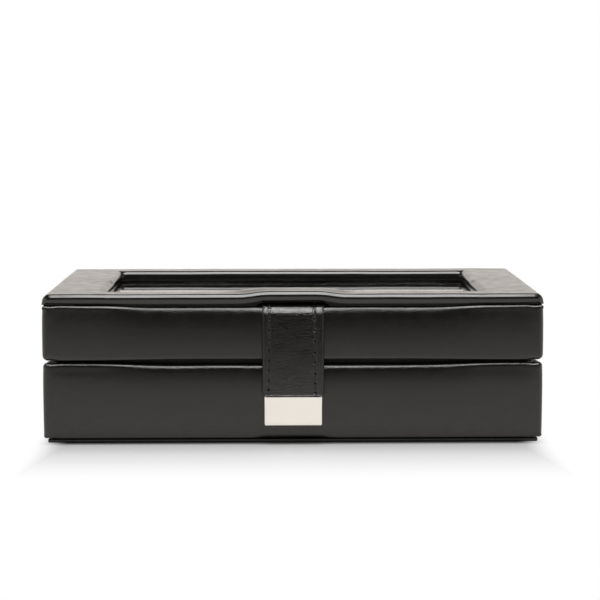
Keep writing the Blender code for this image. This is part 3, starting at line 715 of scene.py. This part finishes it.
def on_route(distance):
    """The point and the outward way on the route at a distance from its start."""
    for i in range(1, len(route)):
        if distance <= along[i] or i == len(route) - 1:
            share = (distance - along[i - 1]) / (along[i] - along[i - 1])
            share = min(1.0, max(0.0, share))
            point = route[i - 1][0].lerp(route[i][0], share)
            return point, route[i - 1][1].lerp(route[i][1], share).normalized()


def distance_at(z):
    """The route's distance where the strap comes down through height z."""
    for i in range(len(route) - 1, 0, -1):
        lower, upper = route[i][0].y, route[i - 1][0].y
        if lower <= z <= upper and upper > lower:
            return along[i] - (along[i] - along[i - 1]) * (z - lower) / (upper - lower)
    return 0.0


# %% Make the strap
HOLES_LEFT = [54.2, 50.4, 45.9, 41.9, 38.0, 34.0, 30.0, 25.9, 22.2]
HOLES_RIGHT = [55.2, 50.4, 45.9, 41.6, 37.0, 33.0, 28.6, 24.5, 20.9]
ROWS = ((-9.4, -10.1, HOLES_LEFT), (8.4, 9.1, HOLES_RIGHT))


def row_shift(x, distance):
    """The rows of stitches drift a little outwards on the way down."""
    share = min(1.0, max(0.0, (distance - 15 * MM) / (40 * MM)))
    return math.copysign(0.7 * MM * share, x) * ease(1 - (abs(abs(x) - 9 * MM)) / (3 * MM))


def face_height(x, distance):
    """How far the strap's face stands above or below its nominal plane, in metres."""
    height = 0.0
    for start, _, _ in ROWS:
        away = abs(x - start * MM)
        height -= 0.26 * MM * math.exp(-((away / (0.5 * MM)) ** 2))
    inside = ease((abs(x) - 7.5 * MM) / (2 * MM))
    height -= 0.12 * MM * (1 - inside)
    height += 0.07 * MM * wander(x, distance, 0, 7 * MM, 3.3) * (1 - inside)
    edge = min(0.98, max(0.0, (abs(x) - 11.2 * MM) / (0.8 * MM)))
    height -= 0.5 * MM * (1 - math.sqrt(1 - edge * edge))
    return height - 0.03 * MM


def strap_thickness(distance):
    """Thin over the lid's edge, two layers where it hangs, one in the metal end."""
    hang = distance_at(50 * MM)
    shoulder = distance_at(54 * MM)
    if distance > distance_at(TONGUE_START):
        return 0.85 * MM
    if distance < shoulder:
        return 0.4 * MM
    if distance < hang:
        return (0.4 + 0.4 * ease((distance - shoulder) / (hang - shoulder))) * MM
    low_hang = distance_at(HANG_START)
    return (0.8 + 1.2 * ease((distance - hang) / (low_hang - hang))) * MM


bm = bmesh.new()
length = along[-1]
bmesh.ops.create_cube(
    bm,
    size=1,
    matrix=Matrix.Translation((0, 0, length / 2)) @ Matrix.Diagonal((2 * STRAP_HALF, 1 * MM, length, 1)),
)
bmesh.ops.bevel(bm, geom=bm.edges[:], offset=0.3 * MM, segments=3, profile=0.5, affect="EDGES", material=-1)
columns = steps(-11.8 * MM, 11.8 * MM, 1.2 * MM)
for start, _, _ in ROWS:
    columns += [(start + offset) * MM for offset in (-1.1, -0.8, -0.5, 0.5, 0.8, 1.1)]
columns += [side * place * MM for side in (-1, 1) for place in (11.3, 11.5, 11.65, 11.8, 11.9, 11.97, 12.05)]
cut_bands(bm, 0, sorted(set(columns)))
cut_bands(bm, 2, steps(0.8 * MM, length - 0.8 * MM, 1.0 * MM))
pits = []
for start, _, holes in ROWS:
    for z in holes:
        middle = distance_at(z * MM)
        cut_bands(bm, 2, [middle - 0.52 * MM, middle + 0.52 * MM])
        pits.append((start * MM, middle))
bm.faces.ensure_lookup_table()
sunk = []
for face in bm.faces:
    centre = face.calc_center_median()
    if face.normal.y < -0.9:
        for x, middle in pits:
            if abs(centre.x - x) < 0.48 * MM and abs(centre.z - middle) < 0.5 * MM:
                sunk.append(face)
                break
bmesh.ops.inset_region(bm, faces=sunk, thickness=0.09 * MM, use_even_offset=True)
hollow = bm.verts.layers.float.new("hollow")
# Painted shade: the pits' bottoms get the black material, which is partly the thread in the hole and partly the hole's
# shade.
for face in sunk:
    face.material_index = 1
    for vert in face.verts:
        vert[hollow] = 0.45 * MM
for vert in bm.verts:
    x, depth, distance = vert.co
    outer = 0.5 - depth / MM
    shift = row_shift(x, distance)
    point, way = on_route(distance)
    thickness = strap_thickness(distance)
    lift = face_height(x, distance) * outer if abs(x) < STRAP_HALF - 0.4 * MM else -0.03 * MM
    inward = (1 - outer) * thickness - lift + vert[hollow]
    place = point - way * inward
    if distance > distance_at(TONGUE_START - 0.4 * MM):
        x = x * 0.88
    vert.co = Vector((x + shift, place.x, place.y))
for face in bm.faces:
    if abs(face.calc_center_median().x) > 12.0 * MM and face.calc_center_median().z > TONGUE_START:
        # The two layers' cut edges are inked black and matt; that black is also painted shade where the strap meets the
        # wall.
        face.material_index = 1
bmesh.ops.recalc_face_normals(bm, faces=bm.faces)
strap = add_piece("strap_band", bm, strap_leather)
strap.data.materials.append(black_card_and_painted_shade)
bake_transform(strap)
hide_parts("strap_tab", "strap_face", "strap_lining")
finish_report("strap_band", strap)

# %% [markdown]
# ## Stitches
#
# Each row is a lockstitch in waxed thread: a short length of thread lies in the groove and
# dives into the next hole. One stitch is a stretched ball, so it is thin at both ends.

# %% Make the stitches
bm = bmesh.new()
for start, _, holes in ROWS:
    stops = [distance_at(z * MM) for z in (*holes, 20.2)]
    for near, far in zip([stops[0] - 4 * MM, *stops], stops):
        span = far - near - 0.6 * MM
        if span < 0.5 * MM:
            continue
        made = bmesh.ops.create_uvsphere(bm, u_segments=8, v_segments=8, radius=1)
        middle = (near + far) / 2
        for vert in made["verts"]:
            across, out, along_stitch = vert.co
            distance = middle + along_stitch * span / 2
            x = start * MM + across * 0.21 * MM
            point, way = on_route(distance)
            sink = (0.16 + 0.22 * along_stitch * along_stitch) * MM
            place = point - way * (sink - out * 0.17 * MM)
            vert.co = Vector((x + row_shift(start * MM, distance), place.x, place.y))
bmesh.ops.recalc_face_normals(bm, faces=bm.faces)
stitches = add_piece("strap_stitches", bm, black_thread)
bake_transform(stitches)
finish_report("strap_stitches", stitches)

# %% [markdown]
# ## The strap's metal end
#
# A pressed cap of nickel-plated steel closes the flap. Its rims are rolled over, the upper one
# more than the others, so they mirror the lamp as bright lines with a dark one beside them. A
# cube is bevelled, its upper rim is stretched, and its back is hollowed out for the strap.

# %% Make the metal end
plate_low, plate_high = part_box("strap_end_plate")
bm = bmesh.new()
size, centre = plate_high - plate_low, (plate_high + plate_low) / 2
bmesh.ops.create_cube(bm, size=1, matrix=Matrix.Translation(centre) @ Matrix.Diagonal((*size, 1)))
upright = [e for e in bm.edges if abs(e.verts[0].co.y - e.verts[1].co.y) > 1 * MM]
bmesh.ops.bevel(bm, geom=upright, offset=0.6 * MM, segments=4, profile=0.5, affect="EDGES", material=-1)
rim = [e for e in bm.edges if all(v.co.y < centre.y for v in e.verts)]
bmesh.ops.bevel(bm, geom=rim, offset=0.45 * MM, segments=5, profile=0.5, affect="EDGES", material=-1)
LINE = plate_low.z + 1.1 * MM
cut_bands(bm, 2, [plate_high.z - 1.2 * MM, LINE - 0.15 * MM, LINE, LINE + 0.15 * MM])
cut_bands(bm, 0, [side * (plate_high.x - 1.0 * MM) for side in (-1, 1)])
ROLLED = ((0.55, 0.0), (0.3, 0.02), (0.14, 0.06), (-0.05, 0.13), (-0.24, 0.21), (-0.27, 0.26))
for vert in bm.verts:
    below = plate_high.z - vert.co.z
    if below < 0.46 * MM:
        # The rim was bevelled in steps of 18 degrees: each step gets its place in the flatter roll.
        step = round(math.degrees(math.asin(min(1.0, max(0.0, 1 - below / (0.45 * MM))))) / 18)
        vert.co.z = plate_high.z - ROLLED[step][0] * MM
        if step and vert.co.y < centre.y:
            round_depth = 0.45 * MM * (1 - math.cos(math.radians(18 * step)))
            vert.co.y = plate_low.y + (vert.co.y - plate_low.y) * ROLLED[step][1] * MM / round_depth
    if abs(vert.co.z - LINE) < 0.02 * MM and abs(vert.co.x) < plate_high.x - 0.9 * MM and vert.co.y < centre.y:
        vert.co.y += 0.012 * MM
bm.faces.ensure_lookup_table()
back = [max((f for f in bm.faces if f.normal.y > 0.999), key=lambda f: f.calc_area())]
bmesh.ops.inset_region(bm, faces=back, thickness=0.35 * MM, depth=0, use_even_offset=True)
inner = bmesh.ops.extrude_face_region(bm, geom=back)["geom"]
bmesh.ops.delete(bm, geom=back, context="FACES_ONLY")
moved = [v for v in inner if isinstance(v, bmesh.types.BMVert)]
bmesh.ops.translate(bm, verts=moved, vec=(0, -2.35 * MM, 0))
end_cap = add_piece("strap_end_cap", bm, satin_nickel, "strap", ["strap_end_plate"], smooth=False)
finish_report("strap_end_cap", end_cap)

# %% [markdown]
# ## The inside
#
# The collar, the linings and the dividers are board in suede. Each CAD solid is copied, its
# loose triangles are merged, and its sharp edges get a small round, as wrapped board has.


# %% Soften the lined boards
def soften(node, radius, material, body, segments=3):
    """A copy of a CAD node with rounded edges, that stands for it."""
    bm = bmesh.new()
    bm.from_mesh(frame["nodes"][node].data)
    bmesh.ops.remove_doubles(bm, verts=bm.verts, dist=0.01 * MM)
    bmesh.ops.dissolve_limit(bm, angle_limit=math.radians(1), verts=bm.verts, edges=bm.edges)
    sharp = [e for e in bm.edges if e.is_manifold and e.calc_face_angle(0) > math.radians(40)]
    bmesh.ops.bevel(
        bm, geom=sharp, offset=radius, segments=segments, profile=0.5, affect="EDGES", material=-1, clamp_overlap=True
    )
    piece = add_piece(node + "_soft", bm, material, body, [node])
    return piece


def round_board(node, top_round, low_round, lean, body):
    """A copy of a wall's board, planed round at its outer rims and thinner at the top, as the cloth over it is."""
    bm = bmesh.new()
    bm.from_mesh(frame["nodes"][node].data)
    bmesh.ops.remove_doubles(bm, verts=bm.verts, dist=0.01 * MM)
    low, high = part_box(node)
    axis = 0 if "left" in node or "right" in node else 1
    side = 1 if high[axis] > 0 else -1
    outwards = Vector([side * float(i == axis) for i in range(3)])
    face = max(abs(low[axis]), abs(high[axis]))
    for level, up, radius, drawn in (
        (high.z, 1, top_round * MM, lean[0] * MM),
        (low.z, -1, low_round * MM, 0.3 * MM),
    ):
        centre = outwards * (face - radius - drawn) + Vector((0, 0, level - up * radius))
        for angle in (math.degrees(math.atan(drawn / (lean[1] * MM))), 25, 45, 72):
            way = outwards * math.cos(math.radians(angle)) + Vector((0, 0, up * math.sin(math.radians(angle))))
            cut = bmesh.ops.bisect_plane(
                bm,
                geom=bm.verts[:] + bm.edges[:] + bm.faces[:],
                dist=0.002 * MM,
                plane_co=centre + way * radius,
                plane_no=way,
                clear_outer=True,
            )["geom_cut"]
            bmesh.ops.holes_fill(bm, edges=[e for e in cut if isinstance(e, bmesh.types.BMEdge)], sides=0)
    return add_piece(node + "_rounded", bm, bare_fibreboard, body, [node], smooth=False)


for side in ("front", "back", "left", "right"):
    round_board(f"base_{side}_board", 0.8 if side == "back" else 2.0, 1.0, (0.3 if side == "back" else 1.1, 8), "base")
    round_board(f"lid_{side}_board", 3.0, 0.8 if side == "back" else 1.2, (1.6, 13), "lid")

bodies = {node: body for body, nodes in frame["record"]["behaviour"]["bodies"].items() for node in nodes}
lined = [n for n in frame["nodes"] if n.startswith(("collar_", "lid_lining_", "cross_divider_", "long_divider"))]
for node in sorted(lined):
    soften(node, 0.35 * MM, charcoal_suede, bodies[node])
retainer = soften("pane_retainer", 0.2 * MM, charcoal_suede, "lid")
retainer.data.materials.append(painted_light_strip)
bm = bmesh.new()
bm.from_mesh(retainer.data)
cut_bands(bm, 2, [51.95 * MM, 52.3 * MM])
for face in bm.faces:
    middle = face.calc_center_median()
    if face.normal.y < -0.9 and 30 * MM < middle.y < 40 * MM and 51.95 < middle.z / MM < 52.3:
        # This strip is painted pale: a painted line of light along the back of the window, under the pane.
        face.material_index = 1
bm.to_mesh(retainer.data)
bm.free()
print("lined boards:", len(lined) + 1, "edge faces:", sum(f.material_index for f in retainer.data.polygons))

# %% [markdown]
# ## The padded floor
#
# Under the dividers lies a thin pad: foam in suede, held down along the dividers, so that it
# crowns a little in each of the twelve compartments. Blender's cloth blows the pad up like a
# pillow while its rim, its underside and the lines under the dividers stay pinned. Cloth behaves
# best at the size of a room, so a copy is made a hundred times larger and brought back after.

# %% Make the padded floor
PAD_REST = 7.15 * MM
PAD_MOST = 1.1 * MM
LARGER = 100
pad_low, pad_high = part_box("floor_pad")
size, centre = pad_high - pad_low, (pad_high + pad_low) / 2
rows_x = [(box[0].x + box[1].x) / 2 for box in (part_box(f"cross_divider_{i}") for i in range(1, 6))]
bm = bmesh.new()
bmesh.ops.create_cube(bm, size=1, matrix=Matrix.Translation(centre) @ Matrix.Diagonal((*size, 1)))
bmesh.ops.bevel(bm, geom=bm.edges[:], offset=0.6 * MM, segments=3, profile=0.5, affect="EDGES", material=-1)
cut_bands(bm, 0, steps(pad_low.x + 1.5 * MM, pad_high.x - 1.5 * MM, 1.9 * MM))
cut_bands(bm, 1, steps(pad_low.y + 1.5 * MM, pad_high.y - 1.5 * MM, 1.9 * MM))
held = []
for vert in bm.verts:
    away = min([abs(vert.co.y), *(abs(vert.co.x - x) for x in rows_x)])
    away = min(away, pad_high.x - abs(vert.co.x), pad_high.y - abs(vert.co.y))
    top = vert.co.z > centre.z + 0.3 * MM
    if top:
        vert.co.z = min(vert.co.z, PAD_REST)
    held.append(1.0 if not top or away < 1.6 * MM else 0.0)
pad = add_piece("floor_pad_cushion", bm, charcoal_suede, "base", ["floor_pad"])
if len(held) == len(pad.data.vertices):
    start = [vert.co.copy() for vert in pad.data.vertices]
    pad.data.transform(Matrix.Scale(LARGER, 4))
    pins = pad.vertex_groups.new(name="held")
    for number, weight in enumerate(held):
        pins.add([number], weight, "REPLACE")
    cloth = pad.modifiers.new("cloth", "CLOTH")
    cloth.settings.use_pressure = True
    cloth.settings.uniform_pressure_force = 4
    cloth.settings.effector_weights.gravity = 0
    cloth.settings.vertex_group_mass = "held"
    cloth.point_cache.frame_end = 20
    for number in range(1, 21):
        bpy.context.scene.frame_set(number)
    blown = pad.evaluated_get(bpy.context.evaluated_depsgraph_get())
    puffed = [vert.co / LARGER for vert in blown.data.vertices]
    pad.modifiers.remove(cloth)
    pad.vertex_groups.remove(pins)
    moved = [(to - vert).length for to, vert in zip(puffed, start)]
    print("cloth moved the pad by up to", round(max(moved) / MM, 2), "mm")
    for vert, old, new in zip(pad.data.vertices, start, puffed):
        way = new - old
        if way.length > PAD_MOST:
            way *= PAD_MOST / way.length
        vert.co = old + way
        vert.co.z = min(vert.co.z, pad_high.z)
    bpy.context.scene.frame_set(1)
finish_report("floor_pad_cushion", pad)

# %% [markdown]
# ## Hinge screws
#
# Small countersunk wood screws hold the hinges. A cone is the head and a tapered rod the
# shank. Bands are cut round the rod and every second one is widened, which gives the thread.
# The slot is the strip between two cuts across the head, pushed in.

# %% Make the screws
def make_screw(node, body):
    """A slotted wood screw in the place of a CAD screw."""
    low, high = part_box(node)
    radius = (high.x - low.x) / 2
    up = 1 if body == "base" else -1
    bm = bmesh.new()
    head = bmesh.ops.create_cone(
        bm, cap_ends=True, segments=24, radius1=radius * 0.5, radius2=radius, depth=1.0 * MM,
        matrix=Matrix.Translation((0, 0, -0.5 * MM)),
    )
    cut_bands(bm, 0, [-0.28 * MM, 0.28 * MM])
    slot = [f for f in bm.faces if f.normal.z > 0.99 and abs(f.calc_center_median().x) < 0.1 * MM]
    made = bmesh.ops.extrude_face_region(bm, geom=slot)["geom"]
    bmesh.ops.delete(bm, geom=slot, context="FACES_ONLY")
    bmesh.ops.translate(bm, verts=[v for v in made if isinstance(v, bmesh.types.BMVert)], vec=(0, 0, -0.45 * MM))
    length = high.z - low.z - 1.0 * MM
    rod = bmesh.ops.create_cone(
        bm, cap_ends=True, segments=12, radius1=0.12 * MM, radius2=0.72 * MM, depth=length,
        matrix=Matrix.Translation((0, 0, -1.0 * MM - length / 2 + 0.02 * MM)),
    )
    turns = steps(-length - 0.6 * MM, -2.2 * MM, 0.3 * MM)
    before = set(bm.verts)
    cut_bands(bm, 2, turns)
    for vert in bm.verts:
        if vert not in before and turns.index(min(turns, key=lambda z: abs(z - vert.co.z))) % 2:
            vert.co.x *= 1.3
            vert.co.y *= 1.3
    if up < 0:
        bmesh.ops.rotate(bm, verts=bm.verts, cent=(0, 0, 0), matrix=Matrix.Rotation(math.pi, 3, "Y"))
    turned = Matrix.Rotation(low.x * 40, 3, "Z")
    bmesh.ops.rotate(bm, verts=bm.verts, cent=(0, 0, 0), matrix=turned)
    place = Vector(((low.x + high.x) / 2, (low.y + high.y) / 2, high.z if up > 0 else low.z))
    bmesh.ops.translate(bm, verts=bm.verts, vec=place)
    bmesh.ops.recalc_face_normals(bm, faces=bm.faces)
    return add_piece(node + "_slotted", bm, plated_steel, body, [node], smooth=False)


screws = [n for n in frame["nodes"] if "_hinge_screw_" in n]
for node in sorted(screws):
    make_screw(node, bodies[node])
print("screws:", len(screws))

# %% [markdown]
# ## Finishes of the CAD nodes that stay
#
# The shapes of the boards, the hinges, the base plate and the pane are right as they are, so
# they keep their meshes and only get the materials made above.

# %% Give the CAD nodes their materials
finishes = {
    "base_plate": case_leather,
    "window_pane": clear_glass,
    "closure_keeper": plated_steel,
    "strap_magnet": plated_steel,
    "floor_pad": charcoal_suede,
    "base_floor_board": bare_fibreboard,
}
for name, node in frame["nodes"].items():
    material = finishes.get(name)
    if "hinge" in name:
        material = plated_steel
    if material and not node.hide_render:
        node.data.materials.clear()
        node.data.materials.append(material)
print("CAD nodes shown:", sum(not n.hide_render for n in frame["nodes"].values()))

# %% [markdown]
# ## Floor, light and surroundings
#
# A product photograph on white has a white table and a large soft light above. Black gloss
# shows its shape by what it mirrors: the white table in the walls, the white backdrop in the
# top, the lamp in the rounded edges, and the dark room between them.

# %% Floor
MIRRORED_WHITE = (1.0, 0.945, 0.89, 1.0)
bm = bmesh.new()
bmesh.ops.create_grid(bm, x_segments=2, y_segments=2, size=1, matrix=Matrix.Diagonal((1.6, 1.2, 1, 1)))
bmesh.ops.translate(bm, verts=bm.verts, vec=(0, 0.73, 0))
floor_material = bpy.data.materials.new("white_table")
floor_material.use_nodes = True
tree = floor_material.node_tree
shader = tree.nodes["Principled BSDF"]
shader.inputs["Base Color"].default_value = hex_colour("#b0b0b0")
shader.inputs["Roughness"].default_value = 0.6
rays = add_node(tree, "LightPath")
spot = add_node(tree, "SeparateXYZ", {0: add_node(tree, "TexCoord").outputs["Object"]})
aside = add_node(tree, "Math", {0: spot.outputs["X"]}, operation="ABSOLUTE")
fades = []
for output, near, far in (
    (aside.outputs[0], 0.09, 0.104),
    (spot.outputs["Y"], -0.052, -0.112),
    (spot.outputs["Y"], 0.06, 0.1),
    (spot.outputs["Y"], -0.05, -0.076),
    (spot.outputs["Y"], -0.0495, -0.0535),
):
    fades.append(
        add_node(
            tree,
            "MapRange",
            {"Value": output, "From Min": near, "From Max": far},
            interpolation_type="SMOOTHSTEP",
        ).outputs["Result"]
    )
fade = add_node(tree, "Math", {0: fades[0], 1: fades[1]}, operation="MAXIMUM")
fade = add_node(tree, "Math", {0: fade.outputs[0], 1: fades[2]}, operation="MAXIMUM")
in_gloss = add_node(tree, "Math", {0: fades[3], 1: rays.outputs["Is Glossy Ray"]}, operation="MULTIPLY")
fade = add_node(tree, "Math", {0: fade.outputs[0], 1: in_gloss.outputs[0]}, operation="MAXIMUM")
# Painted shadow: the last fade darkens the table's own colour to #505050 in a thin band along the box's foot. That band
# stands in for the contact shadow there.
foot = add_node(
    tree,
    "MixRGB",
    {"Fac": fades[4], "Color1": hex_colour("#505050"), "Color2": hex_colour("#b0b0b0")},
)
tree.links.new(foot.outputs[0], shader.inputs["Base Color"])
seen = add_node(tree, "Math", {0: rays.outputs["Is Camera Ray"], 1: rays.outputs["Is Glossy Ray"]}, operation="MAXIMUM")
seen = add_node(tree, "Math", {0: seen.outputs[0], 1: rays.outputs["Is Transmission Ray"]}, operation="MAXIMUM")
share = add_node(tree, "Math", {0: seen.outputs[0], 1: fade.outputs[0]}, operation="MULTIPLY")
mirrored = add_node(
    tree,
    "MixRGB",
    {"Fac": rays.outputs["Is Glossy Ray"], "Color1": (1, 1, 1, 1), "Color2": MIRRORED_WHITE},
)
glow = add_node(tree, "Emission", {"Color": mirrored.outputs[0], "Strength": 1.0})
mix = add_node(tree, "MixShader", {0: share.outputs[0], 1: shader.outputs[0], 2: glow.outputs[0]})
tree.links.new(mix.outputs[0], tree.nodes["Material Output"].inputs["Surface"])
floor = add_piece("floor", bm, floor_material)

# %% Soft light above
lamp_data = bpy.data.lights.new("softbox", "AREA")
lamp_data.shape = "RECTANGLE"
lamp_data.size = 0.5
lamp_data.size_y = 0.98
lamp_data.energy = 13.0
lamp = bpy.data.objects.new("softbox", lamp_data)
bpy.context.scene.collection.objects.link(lamp)
lamp.location = (0, -0.225, 0.86)
print("softbox:", lamp_data.energy, "W")

# %% Surroundings
world = bpy.data.worlds.new("studio")
bpy.context.scene.world = world
world.use_nodes = True
tree = world.node_tree
background = tree.nodes["Background"]
way = add_node(tree, "SeparateXYZ", {0: add_node(tree, "TexCoord").outputs["Generated"]})
height = add_node(
    tree,
    "MapRange",
    {"Value": way.outputs["Z"], "From Min": 0.33, "From Max": 0.46, "To Min": 1.0, "To Max": 0.04},
    interpolation_type="SMOOTHSTEP",
)
behind = add_node(
    tree,
    "MapRange",
    {"Value": way.outputs["Y"], "From Min": -0.85, "From Max": -0.6, "To Min": 0.04, "To Max": 1.0},
    interpolation_type="SMOOTHSTEP",
)
backdrop = add_node(tree, "Math", {0: height.outputs["Result"], 1: behind.outputs["Result"]}, operation="MULTIPLY")
rays = add_node(tree, "LightPath")
mirrored = add_node(
    tree, "Math", {0: rays.outputs["Is Glossy Ray"], 1: rays.outputs["Is Transmission Ray"]}, operation="MAXIMUM"
)
diffuse_or_camera = add_node(
    tree, "MapRange", {"Value": rays.outputs["Is Camera Ray"], "To Min": 0.35, "To Max": 1.0}
)
strength = add_node(
    tree,
    "Mix",
    {"Factor": mirrored.outputs[0], "A": diffuse_or_camera.outputs["Result"], "B": backdrop.outputs[0]},
    data_type="FLOAT",
)
tree.links.new(strength.outputs[0], background.inputs["Strength"])
tone = add_node(
    tree,
    "MixRGB",
    {"Fac": mirrored.outputs[0], "Color1": (1, 1, 1, 1), "Color2": MIRRORED_WHITE},
)
tree.links.new(tone.outputs[0], background.inputs["Color"])
print("studio ready")
